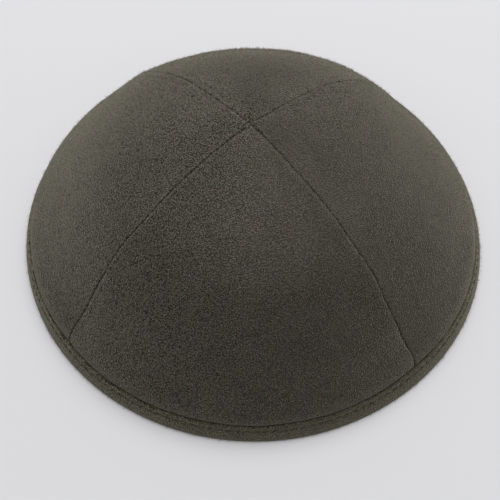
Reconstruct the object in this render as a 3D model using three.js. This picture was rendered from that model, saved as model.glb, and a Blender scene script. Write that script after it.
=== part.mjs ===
// A four-panel suede kippah that stands on its rim. Millimetres, +Z up, the front towards -Y.
// The origin is the centre of the rim, on the surface that the cap rests on.

import * as THREE from "three";

// Shape of the cap
const crownHeight = 61.9;
const crownShift = { x: 0.7, y: 0 };
const ovalShare = 0.0102;
const ovalAzimuth = THREE.MathUtils.degToRad(143.5);

// Suede: one layer, the gap that joined pieces keep, and the binding's strip
const suede = 1.5;
const turnedIn = 2.7;
const seamGap = 0.3;
const strip = 1.2;

// Mesh sizes: rows up a panel between two profile rows, and spaces across its plain middle
const rowsPerSpan = 2;
const middleSpaces = 10;

// How far a panel's outer face lies from the rim's centre, along its seams and up its middle.
// The seams stand out as ridges from 20 to 70 degrees. The binding draws the panels in at 5
// degrees, and they bulge just above it.
const profile = [
  { elevation: 1.3, seam: 85.2, middle: 85.3 },
  { elevation: 5, seam: 82.9, middle: 83.4 },
  { elevation: 8, seam: 81.3, middle: 82.1 },
  { elevation: 12, seam: 78.6, middle: 79.3 },
  { elevation: 20, seam: 74.9, middle: 73.7 },
  { elevation: 30, seam: 71.5, middle: 68.7 },
  { elevation: 40, seam: 68.5, middle: 65.8 },
  { elevation: 50, seam: 66.1, middle: 63.5 },
  { elevation: 60, seam: 63.9, middle: 62 },
  { elevation: 70, seam: 62.2, middle: 61.3 },
  { elevation: 80, seam: 61.8, middle: 61.5 },
  { elevation: 90, seam: crownHeight, middle: crownHeight },
];

// Where the seams run down from the crown, seen from above, in degrees from +X
const seamAzimuth = { frontLeft: 218.4, frontRight: 311, backRight: 40.6, backLeft: 129.9 };

const panels = [
  { name: "panel_front", from: seamAzimuth.frontLeft, to: seamAzimuth.frontRight },
  { name: "panel_right", from: seamAzimuth.frontRight, to: seamAzimuth.backRight + 360 },
  { name: "panel_back", from: seamAzimuth.backRight, to: seamAzimuth.backLeft },
  { name: "panel_left", from: seamAzimuth.backLeft, to: seamAzimuth.frontLeft },
].map(({ name, from, to }) => ({
  name,
  from: THREE.MathUtils.degToRad(from),
  to: THREE.MathUtils.degToRad(to),
}));

// A panel's edge, from its seam inwards: the edge rolls down into the seam, and the suede is
// folded back inside as a second layer that ends in a step
const panelEdge = [
  { distance: 0, drop: 0.7, wall: turnedIn },
  { distance: 0.8, drop: 0.25, wall: turnedIn },
  { distance: 2, drop: 0, wall: turnedIn },
  { distance: 6, drop: 0, wall: turnedIn },
  { distance: 6.8, drop: 0, wall: suede },
];

// Where a panel is narrower than twice this, near the crown, its edge columns draw together
const edgeRoom = 8.8;

// The folded layer is trimmed away below this profile row, where the panels enter the binding
const trimmedRow = 1;

// The binding's section: up is measured along the panel from its lower edge, out from the
// panel's outer face. What would reach below the surface is flattened on it and makes the foot.
const slotInside = -(suede + seamGap);
const bindingSection = [
  { up: -2.7, out: 0.75 },
  { up: -2.2, out: 1.55 },
  { up: -0.4, out: 2.05 },
  { up: 1.9, out: 2.15 },
  { up: 4, out: 2 },
  { up: 5.5, out: seamGap + strip },
  { up: 5.4, out: seamGap },
  { up: -seamGap, out: seamGap },
  { up: -seamGap, out: slotInside },
  { up: 4.6, out: slotInside },
  { up: 4.7, out: slotInside - strip },
  { up: 0.2, out: -3.2 },
  { up: -1.2, out: -2.9 },
];

const profileCurve = new THREE.CatmullRomCurve3(
  profile.map(({ elevation, seam, middle }) => new THREE.Vector3(elevation, seam, middle)),
  false,
  "catmullrom",
);

function polar(radius, azimuth, height) {
  return new THREE.Vector3(radius * Math.cos(azimuth), radius * Math.sin(azimuth), height);
}

// Turns the round, centred cap into the real one: slightly oval at the rim, its crown off centre
function seat(point) {
  const rise = point.z / crownHeight;
  const azimuth = Math.atan2(point.y, point.x);
  const stretch = 1 + ovalShare * Math.cos(2 * (azimuth - ovalAzimuth)) * (1 - rise);
  return new THREE.Vector3(
    point.x * stretch + crownShift.x * rise ** 2,
    point.y * stretch + crownShift.y * rise ** 2,
    point.z,
  );
}

// A point of a panel's outer face, up the panel by share and round it by azimuth
function facePoint(panel, share, azimuth) {
  const { x: elevation, y: seam, z: middle } = profileCurve.getPoint(share);
  const middleAzimuth = (panel.from + panel.to) / 2;
  const turn = ((azimuth - middleAzimuth) / (panel.to - panel.from)) * (Math.PI / 2);
  const ridge = (1 / Math.cos(turn) - 1) / (Math.SQRT2 - 1);
  const reach = THREE.MathUtils.lerp(middle, seam, ridge);
  const angle = THREE.MathUtils.degToRad(elevation);
  return polar(reach * Math.cos(angle), azimuth, reach * Math.sin(angle));
}

function faceNormal(panel, share, azimuth) {
  const step = 1e-3;
  const below = facePoint(panel, Math.max(share - step, 0), azimuth);
  const above = facePoint(panel, Math.min(share + step, 1), azimuth);
  const before = facePoint(panel, share, azimuth - step);
  const after = facePoint(panel, share, azimuth + step);
  return after.sub(before).cross(above.sub(below)).normalize();
}

// Keeps a point half the seam gap away from both of its panel's seams
function keepOffSeams(point, panel) {
  const inside = [
    new THREE.Vector3(-Math.sin(panel.from), Math.cos(panel.from), 0),
    new THREE.Vector3(Math.sin(panel.to), -Math.cos(panel.to), 0),
  ];
  for (const direction of inside) {
    const short = seamGap / 2 - point.dot(direction);
    if (short > 0) point.addScaledVector(direction, short);
  }
  return point;
}

// The columns of one row of a panel, from seam to seam, with each one's azimuth, drop and wall
function panelColumns(panel, share) {
  const edgePoint = facePoint(panel, share, panel.from);
  const radius = Math.hypot(edgePoint.x, edgePoint.y);
  const halfWidth = ((panel.to - panel.from) / 2) * radius;
  const squeeze = Math.min(1, halfWidth / edgeRoom);
  const columns = panelEdge.map(({ distance, drop, wall }) => ({
    turn: (distance * squeeze + seamGap / 2) / radius,
    drop: drop * squeeze,
    wall,
  }));
  const first = columns.map((column) => ({ ...column, azimuth: panel.from + column.turn }));
  const last = columns.map((column) => ({ ...column, azimuth: panel.to - column.turn })).reverse();
  const start = first.at(-1).azimuth;
  const end = last[0].azimuth;
  const middle = Array.from({ length: middleSpaces - 1 }, (_, index) => ({
    azimuth: THREE.MathUtils.lerp(start, end, (index + 1) / middleSpaces),
    drop: 0,
    wall: suede,
  }));
  return [...first, ...middle, ...last];
}

function geometryOf(points, triangles) {
  const geometry = new THREE.BufferGeometry();
  geometry.setAttribute("position", new THREE.Float32BufferAttribute(points.flatMap((p) => [...p]), 3));
  geometry.setIndex(triangles);
  geometry.computeVertexNormals();
  return geometry;
}

// One panel: an outer and an inner face, joined round the edge and brought to a tip at the crown
function panelGeometry(panel) {
  const rowCount = (profile.length - 1) * rowsPerSpan;
  const trimmedShare = trimmedRow / (profile.length - 1);
  const outer = [];
  const inner = [];
  for (let row = 0; row < rowCount; row += 1) {
    const share = row / rowCount;
    for (const { azimuth, drop, wall } of panelColumns(panel, share)) {
      const point = facePoint(panel, share, azimuth);
      const normal = faceNormal(panel, share, azimuth);
      const depth = share > trimmedShare ? wall : suede;
      outer.push(keepOffSeams(point.clone().addScaledVector(normal, -drop), panel));
      inner.push(keepOffSeams(point.clone().addScaledVector(normal, -depth), panel));
    }
  }
  const middleAzimuth = (panel.from + panel.to) / 2;
  const tipRadius = seamGap / 2 / Math.sin((panel.to - panel.from) / 2);
  const points = [
    ...outer,
    ...inner,
    polar(tipRadius, middleAzimuth, crownHeight),
    polar(tipRadius, middleAzimuth, crownHeight - turnedIn),
  ];

  const width = outer.length / rowCount;
  const outerTip = points.length - 2;
  const innerTip = points.length - 1;
  const outerAt = (row, column) => row * width + column;
  const innerAt = (row, column) => outer.length + row * width + column;
  const triangles = [];
  const quad = (a, b, c, d) => triangles.push(a, b, c, a, c, d);

  for (let row = 0; row < rowCount - 1; row += 1) {
    for (let column = 0; column < width - 1; column += 1) {
      quad(
        outerAt(row, column),
        outerAt(row, column + 1),
        outerAt(row + 1, column + 1),
        outerAt(row + 1, column),
      );
      quad(
        innerAt(row, column),
        innerAt(row + 1, column),
        innerAt(row + 1, column + 1),
        innerAt(row, column + 1),
      );
    }
    quad(outerAt(row, 0), outerAt(row + 1, 0), innerAt(row + 1, 0), innerAt(row, 0));
    quad(
      outerAt(row, width - 1),
      innerAt(row, width - 1),
      innerAt(row + 1, width - 1),
      outerAt(row + 1, width - 1),
    );
  }
  for (let column = 0; column < width - 1; column += 1) {
    quad(outerAt(0, column), innerAt(0, column), innerAt(0, column + 1), outerAt(0, column + 1));
    triangles.push(outerAt(rowCount - 1, column), outerAt(rowCount - 1, column + 1), outerTip);
    triangles.push(innerAt(rowCount - 1, column + 1), innerAt(rowCount - 1, column), innerTip);
  }
  quad(outerAt(rowCount - 1, 0), outerTip, innerTip, innerAt(rowCount - 1, 0));
  quad(outerAt(rowCount - 1, width - 1), innerAt(rowCount - 1, width - 1), innerTip, outerTip);
  return geometryOf(points.map(seat), triangles);
}

// The binding: its section is set on the panels' lower edge at each panel column and swept round
function bindingGeometry() {
  const bandShare = trimmedRow / (profile.length - 1);
  const stations = panels.flatMap((panel) => [
    { panel, azimuth: panel.from },
    ...panelColumns(panel, 0).slice(1, -1).map(({ azimuth }) => ({ panel, azimuth })),
  ]);

  const points = stations.flatMap(({ panel, azimuth }) => {
    const lower = facePoint(panel, 0, azimuth);
    const upper = facePoint(panel, bandShare, azimuth);
    const lowerRadius = Math.hypot(lower.x, lower.y);
    const lean = new THREE.Vector2(Math.hypot(upper.x, upper.y) - lowerRadius, upper.z - lower.z);
    lean.normalize();
    return bindingSection.map(({ up, out }) => {
      const radius = lowerRadius + up * lean.x + out * lean.y;
      const height = lower.z + up * lean.y - out * lean.x;
      return polar(radius, azimuth, Math.max(0, height));
    });
  });

  const size = bindingSection.length;
  const triangles = [];
  for (let station = 0; station < stations.length; station += 1) {
    const next = (station + 1) % stations.length;
    for (let corner = 0; corner < size; corner += 1) {
      const following = (corner + 1) % size;
      const a = station * size + corner;
      const b = next * size + corner;
      const c = next * size + following;
      const d = station * size + following;
      triangles.push(a, b, c, a, c, d);
    }
  }
  return geometryOf(points.map(seat), triangles);
}

function panelSuede() {
  return new THREE.MeshStandardMaterial({ color: 0x4c493f, roughness: 0.95, metalness: 0 });
}

function bindingSuede() {
  return new THREE.MeshStandardMaterial({ color: 0x454339, roughness: 0.95, metalness: 0 });
}

const kippah = new THREE.Group();
for (const panel of panels) {
  const mesh = new THREE.Mesh(panelGeometry(panel), panelSuede());
  mesh.name = panel.name;
  kippah.add(mesh);
}
const binding = new THREE.Mesh(bindingGeometry(), bindingSuede());
binding.name = "rim_binding";
kippah.add(binding);

export default kippah;
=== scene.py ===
# A four-panel suede kippah that stands on its rim. Metres, +Z up, the front towards -Y.

import math

import bpy
import numpy as np
from mathutils import Matrix, Vector


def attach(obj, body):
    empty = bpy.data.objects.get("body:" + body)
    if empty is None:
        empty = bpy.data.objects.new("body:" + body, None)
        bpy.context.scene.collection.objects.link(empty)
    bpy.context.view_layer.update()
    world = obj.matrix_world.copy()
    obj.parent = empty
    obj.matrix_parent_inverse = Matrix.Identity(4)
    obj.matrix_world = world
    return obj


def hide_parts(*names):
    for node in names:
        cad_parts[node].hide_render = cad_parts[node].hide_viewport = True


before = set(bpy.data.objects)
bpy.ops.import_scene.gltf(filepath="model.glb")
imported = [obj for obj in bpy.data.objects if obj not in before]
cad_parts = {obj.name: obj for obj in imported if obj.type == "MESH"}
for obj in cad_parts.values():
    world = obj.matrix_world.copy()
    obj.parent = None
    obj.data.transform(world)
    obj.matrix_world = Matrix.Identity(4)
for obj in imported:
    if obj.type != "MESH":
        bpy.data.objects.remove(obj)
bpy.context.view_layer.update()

# Camera
# It looks down on the front of the cap from a little over 30 cm away, turned by a degree and
# a half, as the photograph was taken.

camera_distance = 0.31756
camera_elevation = math.radians(57.903)
camera_roll = math.radians(-1.545)
camera_aim = Vector((-0.00064, -0.00832, -0.00522))
lens_mm = 58.31
sensor_mm = 36.0

bpy.ops.object.select_all(action="DESELECT")
camera_place = Vector((0, -math.cos(camera_elevation), math.sin(camera_elevation))) * camera_distance
bpy.ops.object.camera_add(location=camera_place)
camera = bpy.context.object
camera.name = "photo_camera"
camera.data.lens = lens_mm
camera.data.sensor_width = sensor_mm

sight = (camera_aim - camera_place).normalized()
level_right = sight.cross(Vector((0, 0, 1))).normalized()
level_up = level_right.cross(sight)
camera_right = math.cos(camera_roll) * level_right + math.sin(camera_roll) * level_up
camera_up = math.cos(camera_roll) * level_up - math.sin(camera_roll) * level_right
turned = Matrix((camera_right, camera_up, -sight)).transposed().to_4x4()
camera.matrix_world = Matrix.Translation(camera_place) @ turned
bpy.context.scene.camera = camera

# Four suede panels
# Each is a curved triangle cut from one layer of olive-brown suede. Its long edges are folded
# back inside and sewn to its neighbours, so the seams stand out as soft ridges.

mm = 0.001
# The crown stands a little off the middle, and the rim is a little longer one way
crown_height = 61.9 * mm
crown_shift = 0.7 * mm
oval_share = 0.0102
oval_azimuth = math.radians(143.5)
# One layer of suede, and the two layers where an edge is turned in
suede = 1.5 * mm
turned_in = 2.7 * mm

# How far the outer face lies from the rim's centre: the elevation in degrees, then the reach in
# millimetres along the seams and up the middle of a panel
dome_profile = np.array(
    [
        (1.3, 85.2, 85.3),
        (5, 82.9, 83.4),
        (8, 81.3, 82.1),
        (12, 78.6, 79.3),
        (20, 74.9, 73.7),
        (30, 71.5, 68.7),
        (40, 68.5, 65.8),
        (50, 66.1, 63.5),
        (60, 63.9, 62),
        (70, 62.2, 61.3),
        (80, 61.8, 61.5),
        (90, 61.9, 61.9),
    ]
)

# Where each seam runs down from the crown, in degrees from +X, how much of its groove closes up towards the
# crown, in millimetres, how dark the shade painted in its crease is, and the share of that at the rim
seams = {
    "front_left": {"azimuth": 218.4, "closed_crown": 4.5, "crease_shade": 0.65, "at_rim": 0.3},
    "front_right": {"azimuth": 311.0, "closed_crown": 0.1, "crease_shade": 1.0, "at_rim": 1},
    "back_right": {"azimuth": 40.6, "closed_crown": 5.5, "crease_shade": 0.28, "at_rim": 1},
    "back_left": {"azimuth": 129.9, "closed_crown": 0.1, "crease_shade": 0.8, "at_rim": 1},
}
panels = {
    "panel_front": ("front_left", "front_right"),
    "panel_right": ("front_right", "back_right"),
    "panel_back": ("back_right", "back_left"),
    "panel_left": ("back_left", "front_left"),
}


def seam_span(first, last):
    """The azimuths of a panel's two seams, in radians, the second above the first."""
    start, end = seams[first]["azimuth"], seams[last]["azimuth"]
    return math.radians(start), math.radians(end if end > start else end + 360)


def dome_reach(share):
    """Elevation, reach along the seams and reach up the middle, on a curve through the profile's
    rows, for how far up the rows a point lies, from 0 to 1."""
    before = 2 * dome_profile[0] - dome_profile[1]
    after = 2 * dome_profile[-1] - dome_profile[-2]
    rows = np.vstack([before, dome_profile, after])
    position = np.clip(share, 0, 1) * (len(dome_profile) - 1)
    first = np.minimum(position.astype(int), len(dome_profile) - 2)
    t = (position - first)[..., None]
    a, b, c, d = (rows[first + step] for step in range(4))
    start, end = (c - a) / 2, (d - b) / 2
    smooth = b + start * t + (3 * (c - b) - 2 * start - end) * t**2 + (2 * (b - c) + start + end) * t**3
    return np.radians(smooth[..., 0]), smooth[..., 1] * mm, smooth[..., 2] * mm


def on_dome(share, azimuth, span):
    """A point of a panel's outer face, on the round dome before it is made oval."""
    elevation, seam, middle = dome_reach(share)
    turn = (azimuth - (span[0] + span[1]) / 2) / (span[1] - span[0]) * (math.pi / 2)
    # 0 up the middle of the panel and 1 at its seams
    ridge = (1 / np.cos(turn) - 1) / (math.sqrt(2) - 1)
    reach = middle + (seam - middle) * ridge
    flat = reach * np.cos(elevation)
    return np.stack([flat * np.cos(azimuth), flat * np.sin(azimuth), reach * np.sin(elevation)], -1)


def facing(share, azimuth, span):
    """The direction that the outer face looks in."""
    step = 1e-3
    round_it = on_dome(share, azimuth + step, span) - on_dome(share, azimuth - step, span)
    up_it = on_dome(share + step, azimuth, span) - on_dome(share - step, azimuth, span)
    normal = np.cross(round_it, up_it)
    length = np.linalg.norm(normal, axis=-1, keepdims=True)
    return np.where(length > 1e-12, normal / np.maximum(length, 1e-12), (0, 0, 1))


def smooth_step(value, start, end):
    """0 up to the start and 1 from the end on, with a soft step between. It falls instead of
    rising where the end is the lower of the two."""
    share = np.clip((value - start) / (end - start), 0, 1)
    return share * share * (3 - 2 * share)


# The two halves of the cap were sewn last, along the front right and back left seams, and the
# other two seams miss each other by a little where they meet at the crown
halves_azimuth = math.radians(130.4)
halves_offset = 0.4 * mm
halves_spread = 3 * mm
# Hand-guided stitching wanders a little from a straight line, in two waves up the dome and two
# out from the crown. A wave is about six times as long as the length given for it.
seam_wander = 0.22 * mm
wander_up = (4.1 * mm, 2.3 * mm)
wander_out = (0.6 * mm, 3.7 * mm)
# Soft suede stands a little unevenly. For each swell of the rim, and of the dome above it: its
# azimuth in degrees from +X, how far it spreads to each side, and how far out it stands in
# millimetres, or in if it is a dent
rim_swells = ((-20, 50, 1.1), (45, 40, -0.75), (90, 30, 0.4), (143, 35, -1), (210, 65, 0.45))
dome_swells = ((30, 30, -0.8), (60, 30, 0.4), (100, 35, -0.4), (150, 30, 0.45))


def swell_reach(azimuth, swells):
    """How far out a row of swells stands at an azimuth."""
    reach = np.zeros_like(azimuth)
    for place, spread, out in swells:
        off = np.abs((np.degrees(azimuth) - place + 180) % 360 - 180)
        reach += out * mm * (1 - smooth_step(off, 0, spread))
    return reach


def uneven_reach(azimuth, height):
    """How far out a point lies for its azimuth and height, past the oval."""
    at_rim = 1 - smooth_step(height, 6 * mm, 30 * mm)
    at_dome = smooth_step(height, 6 * mm, 18 * mm) * (1 - smooth_step(height, 26 * mm, 50 * mm))
    return swell_reach(azimuth, rim_swells) * at_rim + swell_reach(azimuth, dome_swells) * at_dome


def seat(points, half=0):
    """Turns the round dome into the real one: sewn in two halves, a little oval at the rim, its
    crown off centre and its seams not quite straight. The front half is -1 and the back half 1."""
    along = np.array([math.cos(halves_azimuth), math.sin(halves_azimuth)])
    radius = np.hypot(points[:, 0], points[:, 1])
    slide = half * halves_offset * np.exp(-((radius / halves_spread) ** 2))
    points[:, :2] += slide[:, None] * along

    azimuth = np.arctan2(points[:, 1], points[:, 0])
    height = points[:, 2]
    wave = np.sin(height / wander_up[0] + 2 * azimuth) + 0.8 * np.sin(height / wander_up[1] + 3 * azimuth)
    wave += 0.45 * np.sin(radius / wander_out[0]) * np.sin(radius / wander_out[1])
    # Nothing is moved at the crown's point or low under the binding
    sideways = seam_wander * wave * smooth_step(radius, 0, 12 * mm) * smooth_step(height, 4 * mm, 12 * mm)
    points[:, 0] -= sideways * np.sin(azimuth)
    points[:, 1] += sideways * np.cos(azimuth)

    rise = height / crown_height
    stretch = 1 + oval_share * np.cos(2 * (azimuth - oval_azimuth)) * (1 - rise)
    # The least radius keeps the swells gentle near the crown, where the radius shrinks to nothing
    stretch += uneven_reach(azimuth, height) / np.maximum(radius, 20 * mm)
    points[:, :2] *= stretch[:, None]
    points[:, 0] += crown_shift * rise**2
    return points


def places(piece):
    """A mesh's vertices as an array of points."""
    points = np.empty(len(piece.data.vertices) * 3)
    piece.data.vertices.foreach_get("co", points)
    return points.reshape(-1, 3)


def set_places(piece, points):
    piece.data.vertices.foreach_set("co", points.ravel())
    piece.data.update()


def set_pattern(piece, around, along):
    """Gives a piece a UV map in metres: round the cap, and up from the rim."""
    corner = np.empty(len(piece.data.loops), dtype=int)
    piece.data.loops.foreach_get("vertex_index", corner)
    pattern = np.stack([around[corner], along[corner]], -1)
    piece.data.uv_layers.active.data.foreach_set("uv", pattern.ravel())


def set_level(piece, name, values):
    """A number at each vertex that the suede's material reads by its name."""
    level = piece.data.attributes.new(name, "FLOAT", "POINT")
    level.data.foreach_set("value", values)


def set_painted_light_and_nap(piece, azimuth, height):
    """Painted light and shade at each vertex, and how strongly the nap shows. The colour is painted lighter
    on the crown's front slope, low on the back and at the foot of the right side, and painted darker low on
    the front, on the left and high on the back. The nap is rough on the left and high on the back, and worn
    smooth on the right and the front."""
    # Where a vertex lies: which way round the cap, and in which band of its height
    rise = height / crown_height
    front = np.maximum(-np.sin(azimuth), 0)
    back = np.maximum(np.sin(azimuth), 0)
    side = np.cos(azimuth)
    crown = smooth_step(rise, 0.58, 0.88)
    low = 1 - smooth_step(rise, 0.45, 0.78)
    foot = 1 - smooth_step(rise, 0.2, 0.5)
    left_middle = np.maximum(-side, 0) * np.exp(-(((rise - 0.7) / 0.16) ** 2))
    # What each of these places adds to the painted light or takes from it, and then to the nap
    crown_light = 0.09 + 0.08 * side + 0.38 * front**3 - 0.66 * back**4
    foot_light = (0.1 + 0.26 * side) * foot * side**2
    front_shade = 0.15 * np.clip(1.3 * front, 0, 1) * low
    light = 1 + crown * crown_light + 0.36 * back**2
    light += foot_light
    light -= front_shade + 0.2 * left_middle
    nap = 1.95 - 0.75 * side - 0.55 * front + (1.1 - 1.5 * low) * back
    low_nap = low * (0.05 - 0.3 * side)
    # The light level is painted light and shade: it scales the suede's colour
    set_level(piece, "light", light)
    set_level(piece, "nap", nap * (1 + low_nap))


# A vertex group takes one weight at a time, so its weights are rounded to so many steps
weight_steps = 40


def set_weights(piece, name, weights):
    """A vertex group from an array of weights."""
    group = piece.vertex_groups.new(name=name)
    steps = np.round(weights * weight_steps).astype(int)
    for step in np.unique(steps):
        group.add(np.flatnonzero(steps == step).tolist(), step / weight_steps, "REPLACE")


def add_relief(piece, texture, height, group=""):
    """Swells a piece's surface in and out by a texture, all over or where a vertex group says."""
    displace = piece.modifiers.new(texture.name, "DISPLACE")
    displace.texture = texture
    displace.texture_coords = "LOCAL"
    displace.strength = height
    displace.vertex_group = group


def apply_modifiers(piece):
    bpy.context.view_layer.objects.active = piece
    for modifier in list(piece.modifiers):
        bpy.ops.object.modifier_apply(modifier=modifier.name)


def relief_texture(name, size):
    """Soft swells of one size."""
    texture = bpy.data.textures.new(name, "CLOUDS")
    texture.noise_scale = size
    texture.noise_depth = 1
    return texture


# Soft unevenness of the leather: the size and height of its swells
waves = relief_texture("suede_waves", 22 * mm)
wave_height = 0.5 * mm
dimples = relief_texture("suede_dimples", 2.2 * mm)
dimple_height = 0.035 * mm

# The lines that a panel's surface is drawn with: close together beside a seam, by the distances
# here, in a strip that takes up the room given, and then evenly spaced over the middle
edge_columns = mm * np.array(
    [0, 0.1, 0.22, 0.36, 0.54, 0.76, 1.02, 1.35, 1.75, 2.2]
    + [2.75, 3.35, 4, 4.7, 5.4, 5.9, 6.3, 6.8, 7.4, 8.1]
)
edge_room = 8.8 * mm
middle_spaces = 110
panel_rows = 156
# The face rolls down into the seam over a fold as wide as roll, and stitches pull it down a
# little every stitch_pitch
roll = 0.6 * mm
roll_depth = 0.8 * mm
stitch_pitch = 3.7 * mm
stitch_pull = 0.15 * mm
stitch_pull_width = 0.7 * mm
# The shade painted down the middle of a seam is uneven, and widest round the crown
crease_width = 0.24 * mm
crown_crease = 9 * mm
# A painted highlight runs beside the seams on the front and left panels, where their edges would stand up
# and catch the light. The other two have only a faint one.
lip_place = 0.95 * mm
lip_width = 0.4 * mm
lip_highlight = 0.36
faint_lip_highlight = 0.1
# The turned-in edge makes a second layer beside the seams, down to the top of the binding, and
# a panel stops just short of its neighbour
fold_width = 6.3 * mm
bound_height = 5 * mm
touch = 0.02 * mm
# The panels swell out just above the binding, which holds them in
swell = 0.9 * mm

# How far up the profile each row of a panel lies, so that the rows are evenly spaced
fine_steps = 2001
fine_share = np.linspace(0, 1, fine_steps)
fine_line = on_dome(fine_share, np.zeros(fine_steps), (-math.pi / 4, math.pi / 4))
fine_length = np.concatenate([[0], np.cumsum(np.linalg.norm(np.diff(fine_line, axis=0), axis=1))])
panel_length = fine_length[-1]
row_length = np.linspace(0, panel_length, panel_rows + 1)
row_share = np.interp(row_length, fine_length, fine_share)


def panel_columns(span):
    """Each column's azimuth and the radius of its row, on every row of a panel."""
    seam_points = on_dome(row_share, np.full(panel_rows + 1, span[0]), span)
    radius = np.hypot(seam_points[:, 0], seam_points[:, 1])
    half_width = (span[1] - span[0]) / 2 * radius
    squeeze = np.minimum(1, half_width / edge_room)
    near = edge_columns[None, :] * squeeze[:, None]
    turn = near / np.maximum(radius, 1e-9)[:, None]
    # The last row is the crown's point, which has no radius
    turn[-1] = turn[-2]
    share = np.linspace(0, 1, middle_spaces + 1)[1:-1]
    start, end = span[0] + turn[:, -1:], span[1] - turn[:, -1:]
    middle = start + (end - start) * share
    azimuth = np.hstack([span[0] + turn, middle, span[1] - turn[:, ::-1]])
    return azimuth, radius


def keep_off_seams(points, span, edges):
    """Holds a panel on its own side of both its seams, with its edges up against them. A point's
    edge is 1 along the first seam, 2 along the second and 0 elsewhere."""
    for azimuth, side, edge in ((span[0], 1, 1), (span[1], -1, 2)):
        inwards = np.array([-math.sin(azimuth) * side, math.cos(azimuth) * side, 0])
        short = touch - points @ inwards
        points += np.where(edges == edge, short, np.maximum(short, 0))[:, None] * inwards
    return points


def seam_shape(seam, distance, along, lip):
    """How deep the face lies below the dome at a distance from a seam, and how much shade is painted there
    less a painted highlight on the lip beside the seam, for how far up the panel a point lies and how
    strong that lip highlight is."""
    rolled = np.clip(1 - distance / roll, 0, 1)
    stitch = np.cos(along / stitch_pitch * math.pi) ** 2
    pulled = stitch_pull * (0.3 + stitch) * np.exp(-distance / stitch_pull_width)
    crown_distance = panel_length - along
    opened = smooth_step(crown_distance, 0, seams[seam]["closed_crown"] * mm)
    shallow = smooth_step(crown_distance, -1 * mm, 4 * mm)
    depth = roll_depth * (1 - np.sqrt(1 - rolled**2)) + pulled
    drop = depth * (0.25 + 0.75 * opened) * shallow

    # Painted shade along the seam's crease, uneven at the knots and widest round the crown, less a painted
    # highlight on the lip beside it
    knots = np.sin(along / (0.7 * mm)) * np.sin(along / (1.9 * mm) + 1) + 0.8 * np.sin(along / (0.35 * mm))
    at_crown = np.exp(-((crown_distance / crown_crease) ** 2))
    uneven = np.clip(0.7 + 0.42 * knots + 0.4 * at_crown, 0, 1.2)
    width = crease_width * (1 + 0.9 * at_crown)
    dark = seams[seam]["crease_shade"] * uneven * np.exp(-((distance / width) ** 2))
    at_rim = seams[seam]["at_rim"]
    dark *= at_rim + (1 - at_rim) * smooth_step(along, 7 * mm, 18 * mm)
    light = lip * lip_highlight * np.exp(-(((distance - lip_place) / lip_width) ** 2))
    return drop, (dark - light) * opened


def make_panel(name, first, last):
    """A panel between two seams: a grid laid on the dome, sunk into its seams and given its
    thickness, with a second layer where its edges are turned in."""
    span = seam_span(first, last)
    azimuth, row_radius = panel_columns(span)
    rows, columns = azimuth.shape
    bpy.ops.object.select_all(action="DESELECT")
    bpy.ops.mesh.primitive_grid_add(x_subdivisions=columns - 1, y_subdivisions=rows - 1, size=1)
    panel = bpy.context.object
    panel.name = panel.data.name = name + "_suede"

    flat = places(panel)
    column = np.round((flat[:, 0] + 0.5) * (columns - 1)).astype(int)
    row = np.round((flat[:, 1] + 0.5) * (rows - 1)).astype(int)
    azimuth, radius, share, along = azimuth[row, column], row_radius[row], row_share[row], row_length[row]
    to_first, to_last = (azimuth - span[0]) * radius, (span[1] - azimuth) * radius
    distance = np.minimum(to_first, to_last)

    points = on_dome(share, azimuth, span)
    lift = swell * smooth_step(along, 4.8 * mm, 6.7 * mm) * (1 - smooth_step(along, 8 * mm, 20 * mm))
    # The panel is painted darker where it meets the binding, though painted lighter there on the left, and
    # a painted highlight lies along the swell just above
    left = np.maximum(-np.cos(azimuth), 0)
    crease_shade = smooth_step(along, 6.1 * mm, 5.5 * mm) * (0.15 - 0.35 * left**2)
    crease_shade -= 0.2 * np.exp(-(((along - 7 * mm) / (0.6 * mm)) ** 2))
    front_half = name in ("panel_front", "panel_left")
    lip = 1 if front_half else faint_lip_highlight
    for seam, seam_distance in ((first, to_first), (last, to_last)):
        seam_drop, seam_shade_and_highlight = seam_shape(seam, seam_distance, along, lip)
        lift -= seam_drop
        crease_shade += seam_shade_and_highlight
    set_places(panel, points + facing(share, azimuth, span) * lift[:, None])
    set_pattern(panel, (azimuth - (span[0] + span[1]) / 2) * radius, along)
    set_level(panel, "crease_shade", crease_shade)
    set_level(panel, "edge", (column == 0) + 2.0 * (column == columns - 1))
    set_painted_light_and_nap(panel, azimuth, points[:, 2])

    # The weights say where the wall has both its layers, and where the face is clear of its edges
    folded = (distance < fold_width) & (along > bound_height)
    set_weights(panel, "layers", np.where(folded, 1, suede / turned_in))
    set_weights(panel, "open_face", np.clip(np.minimum(distance, along) / (2.5 * mm), 0, 1))
    # All columns meet at the crown
    bpy.ops.object.mode_set(mode="EDIT")
    bpy.ops.mesh.select_all(action="SELECT")
    bpy.ops.mesh.remove_doubles(threshold=1e-7)
    bpy.ops.object.mode_set(mode="OBJECT")
    bpy.ops.object.shade_smooth()

    add_relief(panel, waves, wave_height)
    add_relief(panel, dimples, dimple_height, "open_face")
    solidify = panel.modifiers.new("layers", "SOLIDIFY")
    solidify.thickness = turned_in
    solidify.offset = -1
    solidify.vertex_group = "layers"
    apply_modifiers(panel)
    # The edges are found again on the finished wall, and their mark is taken off
    edges = np.empty(len(panel.data.vertices))
    panel.data.attributes["edge"].data.foreach_get("value", edges)
    panel.data.attributes.remove(panel.data.attributes["edge"])
    set_places(panel, seat(keep_off_seams(places(panel), span, edges), -1 if front_half else 1))
    return panel


# How fine the nap's patterns are, as scales of noise on a surface in metres
grain_scale = 2250
curl_scale = 1050
swirl_scale = 260
dye_scale = 240
patch_scale = 110
# How far from a noise's middle value a curl still shows
curl_width = 0.16
# How far a swirl turns the fibres aside
swirl_reach = 2 * mm
# How strong the grain is beside the curls, the middle of the two together, and how far below it
# the nap still shows
grain_strength = 5.0
nap_middle = 2.9
nap_floor = -0.62


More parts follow.
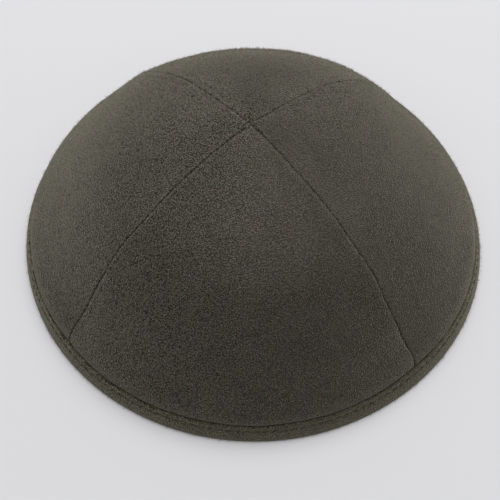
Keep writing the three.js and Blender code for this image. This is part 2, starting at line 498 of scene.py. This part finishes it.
def suede_group():
    """The nap: short brushed fibres that catch the light, in patches brushed this way and that, over a dye
    that is a little redder here and greener there. Painted light and shade from the levels at each vertex,
    and painted shade in the creases, lighten or darken it."""
    group = bpy.data.node_groups.new("suede_nap", "ShaderNodeTree")
    sockets = group.interface
    sockets.new_socket("Pattern", in_out="INPUT", socket_type="NodeSocketVector")
    sockets.new_socket("Place", in_out="INPUT", socket_type="NodeSocketVector")
    for name in ("Tone", "Red tone", "Green tone"):
        sockets.new_socket(name, in_out="INPUT", socket_type="NodeSocketColor")
    for name in ("Nap", "Nap contrast", "Patch contrast", "Dye contrast", "Crease", "Light"):
        sockets.new_socket(name, in_out="INPUT", socket_type="NodeSocketFloat")
    sockets.new_socket("Color", in_out="OUTPUT", socket_type="NodeSocketColor")
    sockets.new_socket("Height", in_out="OUTPUT", socket_type="NodeSocketFloat")
    nodes, links = group.nodes, group.links
    given = nodes.new("NodeGroupInput")
    result = nodes.new("NodeGroupOutput")

    def noise(vector, scale, detail, distortion=0.0):
        node = nodes.new("ShaderNodeTexNoise")
        node.inputs["Scale"].default_value = scale
        node.inputs["Detail"].default_value = detail
        node.inputs["Distortion"].default_value = distortion
        links.new(vector, node.inputs["Vector"])
        return node

    def vector_math(kind, first, second):
        node = nodes.new("ShaderNodeVectorMath")
        node.operation = kind
        links.new(first, node.inputs[0])
        if isinstance(second, tuple):
            node.inputs[1].default_value = second
        else:
            links.new(second, node.inputs[1])
        return node.outputs[0]

    def math_node(kind, first, second=None, third=None):
        node = nodes.new("ShaderNodeMath")
        node.operation = kind
        for socket, value in zip(node.inputs, (first, second, third)):
            if isinstance(value, (int, float)):
                socket.default_value = value
            elif value is not None:
                links.new(value, socket)
        return node.outputs[0]

    def curls(vector, scale):
        """Curled fibres: light lines where a noise crosses its middle value."""
        field = noise(vector, scale, 1, 0.8).outputs["Fac"]
        off_line = math_node("ABSOLUTE", math_node("SUBTRACT", field, 0.5))
        near_line = math_node("MINIMUM", off_line, curl_width)
        return math_node("MULTIPLY_ADD", near_line, -6.0, 1.0)

    # The fibres lie from crown to rim, and swirl where they were brushed
    swirl = noise(given.outputs["Place"], swirl_scale, 2)
    centred = vector_math("SUBTRACT", swirl.outputs["Color"], (0.5, 0.5, 0.5))
    shifted = vector_math("MULTIPLY", centred, (swirl_reach, swirl_reach, swirl_reach))
    brushed = vector_math("ADD", given.outputs["Pattern"], shifted)
    stretched = vector_math("MULTIPLY", brushed, (1.0, 0.65, 1.0))
    curl_lines = curls(stretched, curl_scale)
    grain = noise(given.outputs["Pattern"], grain_scale, 0).outputs["Fac"]
    patches = noise(given.outputs["Place"], patch_scale, 2).outputs["Fac"]
    dye = noise(given.outputs["Place"], dye_scale, 2).outputs["Fac"]

    # The nap, around nought, makes the dye lighter or darker, and so do the brushed patches
    nap = math_node("MULTIPLY_ADD", grain, grain_strength, curl_lines)
    centred_nap = math_node("MAXIMUM", math_node("SUBTRACT", nap, nap_middle), nap_floor)
    nap_level = math_node("MULTIPLY", centred_nap, given.outputs["Nap"])
    patch_level = math_node("SUBTRACT", patches, 0.5)
    bright = math_node("MULTIPLY_ADD", nap_level, given.outputs["Nap contrast"], 1.0)
    patched = math_node("MULTIPLY_ADD", patch_level, given.outputs["Patch contrast"], bright)
    brighter = math_node("MAXIMUM", patched, 0.3)

    # The dye goes from red to green, and is mixed into the suede's own tone
    dye_mask = nodes.new("ShaderNodeMapRange")
    dye_mask.inputs["From Min"].default_value = 0.35
    dye_mask.inputs["From Max"].default_value = 0.65
    links.new(dye, dye_mask.inputs["Value"])
    hue = nodes.new("ShaderNodeMix")
    hue.data_type = "RGBA"
    links.new(dye_mask.outputs["Result"], hue.inputs["Factor"])
    links.new(given.outputs["Red tone"], hue.inputs["A"])
    links.new(given.outputs["Green tone"], hue.inputs["B"])
    tinted = nodes.new("ShaderNodeMix")
    tinted.data_type = "RGBA"
    links.new(given.outputs["Dye contrast"], tinted.inputs["Factor"])
    links.new(given.outputs["Tone"], tinted.inputs["A"])
    links.new(hue.outputs["Result"], tinted.inputs["B"])

    # Fibres bridge the painted crease shade here and there, so that it is ragged
    bridged = math_node("MULTIPLY", given.outputs["Crease"], math_node("MULTIPLY_ADD", grain, -4.0, 3.0))
    crease_unshaded = math_node("MAXIMUM", math_node("MULTIPLY_ADD", bridged, -0.8, 1.0), 0.1)
    # The painted light and shade of each vertex, and the painted crease shade, scale the colour
    lit = math_node("MULTIPLY", brighter, given.outputs["Light"])
    shaded = math_node("MULTIPLY", lit, crease_unshaded)
    color = nodes.new("ShaderNodeVectorMath")
    color.operation = "SCALE"
    links.new(tinted.outputs["Result"], color.inputs[0])
    links.new(shaded, color.inputs["Scale"])
    links.new(color.outputs[0], result.inputs["Color"])
    # The nap stands no higher where it only looks rougher
    relief = math_node("MULTIPLY", centred_nap, math_node("MINIMUM", given.outputs["Nap"], 1.0))
    links.new(relief, result.inputs["Height"])
    return group


suede_nap = suede_group()
nap_height = 0.12 * mm


def suede_material(name, tone, red_tone, green_tone, nap_contrast):
    """Suede of one dye, with light and shade painted into its colour by the levels that its piece has at
    each vertex.
    """
    material = bpy.data.materials.new(name)
    material.use_nodes = True
    nodes, links = material.node_tree.nodes, material.node_tree.links
    shader = nodes["Principled BSDF"]
    shader.inputs["Roughness"].default_value = 1.0
    shader.inputs["Specular IOR Level"].default_value = 0.1
    shader.inputs["Sheen Weight"].default_value = 0.43
    shader.inputs["Sheen Roughness"].default_value = 0.36
    shader.inputs["Sheen Tint"].default_value = (1.0, 0.935, 0.74, 1)
    place = nodes.new("ShaderNodeTexCoord")
    pattern = nodes.new("ShaderNodeUVMap")
    pattern.uv_map = "UVMap"
    nap = nodes.new("ShaderNodeGroup")
    nap.node_tree = suede_nap
    nap.inputs["Tone"].default_value = (*tone, 1)
    nap.inputs["Red tone"].default_value = (*red_tone, 1)
    nap.inputs["Green tone"].default_value = (*green_tone, 1)
    nap.inputs["Patch contrast"].default_value = 0.45
    nap.inputs["Dye contrast"].default_value = 0.4
    nap.inputs["Nap contrast"].default_value = nap_contrast
    for socket, level in (("Crease", "crease_shade"), ("Light", "light"), ("Nap", "nap")):
        at_vertex = nodes.new("ShaderNodeAttribute")
        at_vertex.attribute_name = level
        links.new(at_vertex.outputs["Fac"], nap.inputs[socket])
    bump = nodes.new("ShaderNodeBump")
    bump.inputs["Distance"].default_value = nap_height
    links.new(place.outputs["Object"], nap.inputs["Place"])
    links.new(pattern.outputs["UV"], nap.inputs["Pattern"])
    links.new(nap.outputs["Color"], shader.inputs["Base Color"])
    links.new(nap.outputs["Height"], bump.inputs["Height"])
    links.new(bump.outputs["Normal"], shader.inputs["Normal"])
    return material


panel_suede = suede_material(
    "panel_suede",
    tone=(0.055, 0.0505, 0.0412),
    red_tone=(0.063, 0.048, 0.0455),
    green_tone=(0.0505, 0.054, 0.0357),
    nap_contrast=0.52,
)


# Loose fibres that stand out of the nap. Each is a closed strand of two lengths, a triangle in
# section, with a bend and a pointed tip.
fibre_radius = 0.055 * mm
shortest_fibre = 0.5 * mm
longest_fibre = 1.8 * mm
# How far a fibre is lifted off the face, in degrees: the least, and how much more at most
least_lift = 14
more_lift = 62
# About how far a root strays to either side, and how deep it is set, in millimetres
root_stray = 0.2
root_depth = 0.08
panel_fibre_count = 9000
fibre_seeds = np.random.default_rng(7)


def unit(vectors):
    return vectors / np.maximum(np.linalg.norm(vectors, axis=1, keepdims=True), 1e-12)


def make_fibres(host, name, count):
    """Fibres all over a piece's outer face, most of them lying down the slope of the cap."""
    faces = host.data.polygons
    centre, normal, area = np.empty(len(faces) * 3), np.empty(len(faces) * 3), np.empty(len(faces))
    faces.foreach_get("center", centre)
    faces.foreach_get("normal", normal)
    faces.foreach_get("area", area)
    centre, normal = centre.reshape(-1, 3), normal.reshape(-1, 3)
    outer = (unit(centre) * normal).sum(1) > 0.35
    chosen = fibre_seeds.choice(len(faces), count, p=area * outer / (area * outer).sum())

    # Which way each fibre grows, and where it starts, bends and ends. The upward line leans a
    # little, so that it isn't quite the normal at the crown.
    out, up = normal[chosen], np.array([0.02, 0.01, 1])
    level = unit(np.cross(out, up))
    down = np.cross(out, level)
    heading = fibre_seeds.normal(0, 1.1, count)[:, None]
    lying = np.cos(heading) * down + np.sin(heading) * level
    sideways = np.cross(out, lying)
    lift = np.radians(least_lift + more_lift * fibre_seeds.random(count)[:, None] ** 1.3)
    grown = np.cos(lift) * lying + np.sin(lift) * out
    spare_length = fibre_seeds.random(count)[:, None] ** 2
    length = shortest_fibre + (longest_fibre - shortest_fibre) * spare_length
    bend = fibre_seeds.normal(0, 0.35, count)[:, None]
    stray = fibre_seeds.normal(0, root_stray, (count, 1))
    root = centre[chosen] + (level * stray - out * root_depth) * mm
    middle = root + grown * length * 0.5
    tip = middle + unit(grown + bend * sideways - 0.3 * out) * length * 0.5

    # A triangle round the root, a smaller one round the middle, and the tip, kept off the floor
    across = unit(np.cross(grown, out))
    above = np.cross(across, grown)
    ring = []
    for turn in (math.pi / 2, math.pi * 7 / 6, math.pi * 11 / 6):
        ring.append(math.cos(turn) * across + math.sin(turn) * above)
    points = [root + fibre_radius * side for side in ring]
    points += [middle + 0.8 * fibre_radius * side for side in ring]
    points = np.stack([*points, tip], 1).reshape(-1, 3)
    points[:, 2] = np.maximum(points[:, 2], 0.05 * mm)
    corners = [(2, 1, 0)]
    for start, end in ((0, 1), (1, 2), (2, 0)):
        corners += [(start, end, end + 3, start + 3), (start + 3, end + 3, 6)]
    strands = [tuple(7 * strand + corner for corner in face) for strand in range(count) for face in corners]
    mesh = bpy.data.meshes.new(name)
    mesh.from_pydata(points.tolist(), [], strands)
    fibres = bpy.data.objects.new(name, mesh)
    bpy.context.collection.objects.link(fibres)
    mesh.shade_smooth()
    return fibres


def fibre_material(name, dark, light):
    """Fibres or thread of one dye, some lighter than others."""
    material = bpy.data.materials.new(name)
    material.use_nodes = True
    nodes, links = material.node_tree.nodes, material.node_tree.links
    shader = nodes["Principled BSDF"]
    shader.inputs["Roughness"].default_value = 0.8
    shader.inputs["Specular IOR Level"].default_value = 0.2
    place = nodes.new("ShaderNodeTexCoord")
    shade = nodes.new("ShaderNodeTexNoise")
    shade.inputs["Scale"].default_value = 450
    shade.inputs["Detail"].default_value = 1
    mix = nodes.new("ShaderNodeMix")
    mix.data_type = "RGBA"
    mix.inputs["A"].default_value = (*dark, 1)
    mix.inputs["B"].default_value = (*light, 1)
    links.new(place.outputs["Object"], shade.inputs["Vector"])
    links.new(shade.outputs["Fac"], mix.inputs["Factor"])
    links.new(mix.outputs["Result"], shader.inputs["Base Color"])
    return material


# The loose fibres vary in colour at random, and as a whole are much lighter than the suede's tone: painted
# sheen for the nap's light rim at the outline
suede_fibres = fibre_material("suede_fibres", dark=(0.11, 0.101, 0.073), light=(0.30, 0.275, 0.195))

for panel_name, (first_seam, last_seam) in panels.items():
    panel = make_panel(panel_name, first_seam, last_seam)
    panel.data.materials.append(panel_suede)
    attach(panel, "root")
    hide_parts(panel_name)
    fibres = make_fibres(panel, panel_name + "_fibres", panel_fibre_count)
    fibres.data.materials.append(suede_fibres)
    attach(fibres, "root")

# Rim binding
# One strip of the same suede, folded over the lower edge of all four panels and sewn through
# with a row of stitches a little below its cut edge. Its fold is pressed flat where it rests.

# The strip's section: how far up from the panels' lower edge and out from their outer face
binding_section = [
    (-2.7, 0.1),
    (-2.3, 0.75),
    (-1.1, 1.2),
    (0.5, 1.4),
    (1.9, 1.45),
    (3.0, 1.4),
    (4.0, 1.3),
    (4.8, 1.2),
    (5.35, 1.0),
    (5.55, 0.6),
    (5.3, 0.1),
    (2.5, 0.05),
    (-0.2, 0.05),
    (-0.25, -1.55),
    (2.2, -1.55),
    (4.7, -1.55),
    (4.85, -2.2),
    (4.5, -2.85),
    (2.4, -3.05),
    (0.2, -3.2),
    (-1.2, -2.9),
]
binding_stations = 210
rim_radius = 85 * mm
# The row of stitches sinks the binding along a line this far up from the panels' lower edge
binding_stitch_pitch = 3.1 * mm
stitch_line = 3.6 * mm
stitch_line_width = 0.42 * mm
stitch_line_depth = 0.38 * mm
# The binding's upper edge was cut by hand
cut_edge_wave = 0.14 * mm
# How dark the shade painted along the cut edge is
cut_edge_shade_strength = 0.4
# The inside's pattern starts this far from the outside's, so that the two don't match
pattern_shift = 40 * mm
binding_fibre_count = 4500
# The panels lean at the rim as between the first two rows of their profile
lean_share = 1 / (len(dome_profile) - 1)


def panel_under(azimuth):
    """The seams of the panel at an azimuth, and the azimuth brought between them."""
    low, high, turned_azimuth = np.zeros_like(azimuth), np.zeros_like(azimuth), azimuth.copy()
    for first, last in panels.values():
        start, end = seam_span(first, last)
        shifted = (azimuth - start) % (2 * math.pi) + start
        inside = shifted < end
        low[inside], high[inside], turned_azimuth[inside] = start, end, shifted[inside]
    return turned_azimuth, (low, high)


def lower_edge(azimuth):
    """The panels' lower edge at an azimuth, its radius and height, and the way that they lean."""
    azimuth, span = panel_under(azimuth)
    low = on_dome(np.zeros_like(azimuth), azimuth, span)
    high = on_dome(np.full_like(azimuth, lean_share), azimuth, span)
    radius, height = np.hypot(low[:, 0], low[:, 1]), low[:, 2]
    lean = np.stack([np.hypot(high[:, 0], high[:, 1]) - radius, high[:, 2] - height], -1)
    return radius, height, lean / np.linalg.norm(lean, axis=1, keepdims=True)


def on_binding(azimuth, up, out):
    """A point up along the panels from their lower edge and out from their face, kept off the
    floor."""
    radius, height, lean = lower_edge(azimuth)
    reach = radius + up * lean[:, 0] + out * lean[:, 1]
    rise = height + up * lean[:, 1] - out * lean[:, 0]
    return np.stack([reach * np.cos(azimuth), reach * np.sin(azimuth), np.maximum(rise, 0)], -1)


bpy.ops.object.select_all(action="DESELECT")
bpy.ops.mesh.primitive_torus_add(
    major_segments=binding_stations,
    minor_segments=len(binding_section),
    major_radius=rim_radius,
    minor_radius=4 * mm,
)
binding = bpy.context.object
binding.name = binding.data.name = "rim_binding_suede"
# Every ring of the torus takes the strip's section
section = np.array(binding_section) * mm
station, corner = np.divmod(np.arange(len(binding.data.vertices)), len(section))
azimuth = station / binding_stations * 2 * math.pi
set_places(binding, on_binding(azimuth, section[corner, 0], section[corner, 1]))
smooth = binding.modifiers.new("smooth", "SUBSURF")
smooth.levels = smooth.render_levels = 2
apply_modifiers(binding)

# Where each point lies on the section now that the ring is smooth
bound = places(binding)
azimuth = np.arctan2(bound[:, 1], bound[:, 0])
radius, height, lean = lower_edge(azimuth)
reach, rise = np.hypot(bound[:, 0], bound[:, 1]) - radius, bound[:, 2] - height
up = reach * lean[:, 0] + rise * lean[:, 1]
out = reach * lean[:, 1] - rise * lean[:, 0]
around = azimuth * rim_radius

# The stitches pull the outside in, and the cut edge runs unevenly along the panels
outside = np.clip((out - 0.8 * mm) / (0.4 * mm), 0, 1)
stitch = 0.5 + 0.5 * np.cos(around / binding_stitch_pitch * 2 * math.pi)
sewn = np.exp(-(((up - stitch_line) / stitch_line_width) ** 2))
out -= outside * sewn * stitch_line_depth * (0.35 + 0.65 * stitch)
near_cut = np.clip((up - 4 * mm) / (1.4 * mm), 0, 1)
wander = np.sin(around / (1.3 * mm)) + 0.8 * np.sin(around / (0.7 * mm) + 1.0)
wander += 0.9 * np.sin(around / (3.3 * mm))
up += near_cut * (out > 0) * cut_edge_wave * wander
set_places(binding, seat(on_binding(azimuth, up, out)))
set_pattern(binding, around, up + np.where(out < -0.7 * mm, pattern_shift, 0))

# Painted shade in the needle holes and along the cut edge, less of it on the left
needle_hole_shade = outside * sewn * (0.15 + 0.35 * stitch**2)
cut_edge_shade = smooth_step(up, 5.0 * mm, 5.5 * mm) * smooth_step(out, 1.0 * mm, 0.2 * mm) * cut_edge_shade_strength
left = np.maximum(-np.cos(azimuth), 0)
set_level(binding, "crease_shade", np.maximum(needle_hole_shade, cut_edge_shade) * (1 - 0.6 * left))
set_painted_light_and_nap(binding, azimuth, bound[:, 2])

bpy.ops.object.select_all(action="DESELECT")
binding.select_set(True)
bpy.context.view_layer.objects.active = binding
bpy.ops.object.shade_smooth()
add_relief(binding, dimples, dimple_height)
apply_modifiers(binding)
# Its fold stays flat on the floor
bound = places(binding)
bound[:, 2] = np.maximum(bound[:, 2], 0)
set_places(binding, bound)

# The binding's suede is given a lighter, yellower tone than the panels'
binding_suede = suede_material(
    "binding_suede",
    tone=(0.074, 0.068, 0.048),
    red_tone=(0.081, 0.066, 0.050),
    green_tone=(0.070, 0.071, 0.043),
    nap_contrast=0.65,
)
binding.data.materials.append(binding_suede)
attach(binding, "root")
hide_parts("rim_binding")

binding_fibres = make_fibres(binding, "rim_binding_fibres", binding_fibre_count)
binding_fibres.data.materials.append(suede_fibres)
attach(binding_fibres, "root")

# Binding stitches
# A row of short stitches of olive thread goes through the binding and the panels' edges. Each
# lies sunk in the suede, and its ends dip into the needle holes.

thread_radius = 0.17 * mm
stitch_length = 2.5 * mm
stitch_out = 1.2 * mm
stitch_dip = 0.4 * mm
stitch_count = round(2 * math.pi * rim_radius / binding_stitch_pitch)

# One stitch, drawn out along +X, and then a straight row of them
bpy.ops.object.select_all(action="DESELECT")
bpy.ops.mesh.primitive_uv_sphere_add(
    segments=6,
    ring_count=7,
    radius=thread_radius,
    rotation=(0, math.pi / 2, 0),
)
stitches = bpy.context.object
stitches.name = stitches.data.name = "rim_binding_stitches"
bpy.ops.object.transform_apply(location=False, rotation=True, scale=False)
bpy.ops.object.mode_set(mode="EDIT")
bpy.ops.mesh.select_all(action="SELECT")
bpy.ops.transform.resize(value=(stitch_length / 2 / thread_radius, 1, 1))
bpy.ops.object.mode_set(mode="OBJECT")
row = stitches.modifiers.new("row", "ARRAY")
row.count = stitch_count
row.use_relative_offset = False
row.use_constant_offset = True
row.constant_offset_displace = (binding_stitch_pitch, 0, 0)
apply_modifiers(stitches)

# The row is bent round the binding, each stitch between two needle holes
laid = places(stitches)
stitch_number = np.round(laid[:, 0] / binding_stitch_pitch)
from_middle = laid[:, 0] - stitch_number * binding_stitch_pitch
sunk = stitch_dip * (2 * from_middle / stitch_length) ** 2
pitches = stitch_number + 0.5 + from_middle / binding_stitch_pitch
thread_azimuth = pitches * binding_stitch_pitch / rim_radius
thread_azimuth = (thread_azimuth + math.pi) % (2 * math.pi) - math.pi
thread = on_binding(thread_azimuth, stitch_line + laid[:, 2], stitch_out + laid[:, 1] - sunk)
set_places(stitches, seat(thread))
bpy.ops.object.shade_smooth()
olive_thread = fibre_material("olive_thread", dark=(0.040, 0.036, 0.027), light=(0.085, 0.078, 0.058))
stitches.data.materials.append(olive_thread)
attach(stitches, "root")

# Floor and light
# A plain pale floor under one large soft lamp above the back of the cap and an even room.

bpy.ops.object.select_all(action="DESELECT")
bpy.ops.mesh.primitive_plane_add(size=4)
floor = bpy.context.object
floor.name = "floor"
pale = bpy.data.materials.new("pale_floor")
pale.use_nodes = True
pale_shader = pale.node_tree.nodes["Principled BSDF"]
pale_shader.inputs["Base Color"].default_value = (0.76, 0.76, 0.78, 1)
pale_shader.inputs["Roughness"].default_value = 0.9
pale_shader.inputs["Specular IOR Level"].default_value = 0.2
floor.data.materials.append(pale)

bpy.ops.object.light_add(type="AREA", location=(0.08, 0.36, 1.13))
lamp = bpy.context.object
lamp.name = "soft_lamp"
lamp.data.shape = "DISK"
lamp.data.size = 1.2
lamp.data.energy = 10.7
lamp_aim = Vector((0, 0, 0)) - lamp.location
lamp.rotation_euler = lamp_aim.to_track_quat("-Z", "Y").to_euler()

room = bpy.data.worlds.new("even_room")
room.use_nodes = True
room.node_tree.nodes["Background"].inputs["Color"].default_value = (1.0, 1.0, 1.0, 1)
room.node_tree.nodes["Background"].inputs["Strength"].default_value = 0.4
bpy.context.scene.world = room
bpy.context.scene.view_settings.view_transform = "Standard"
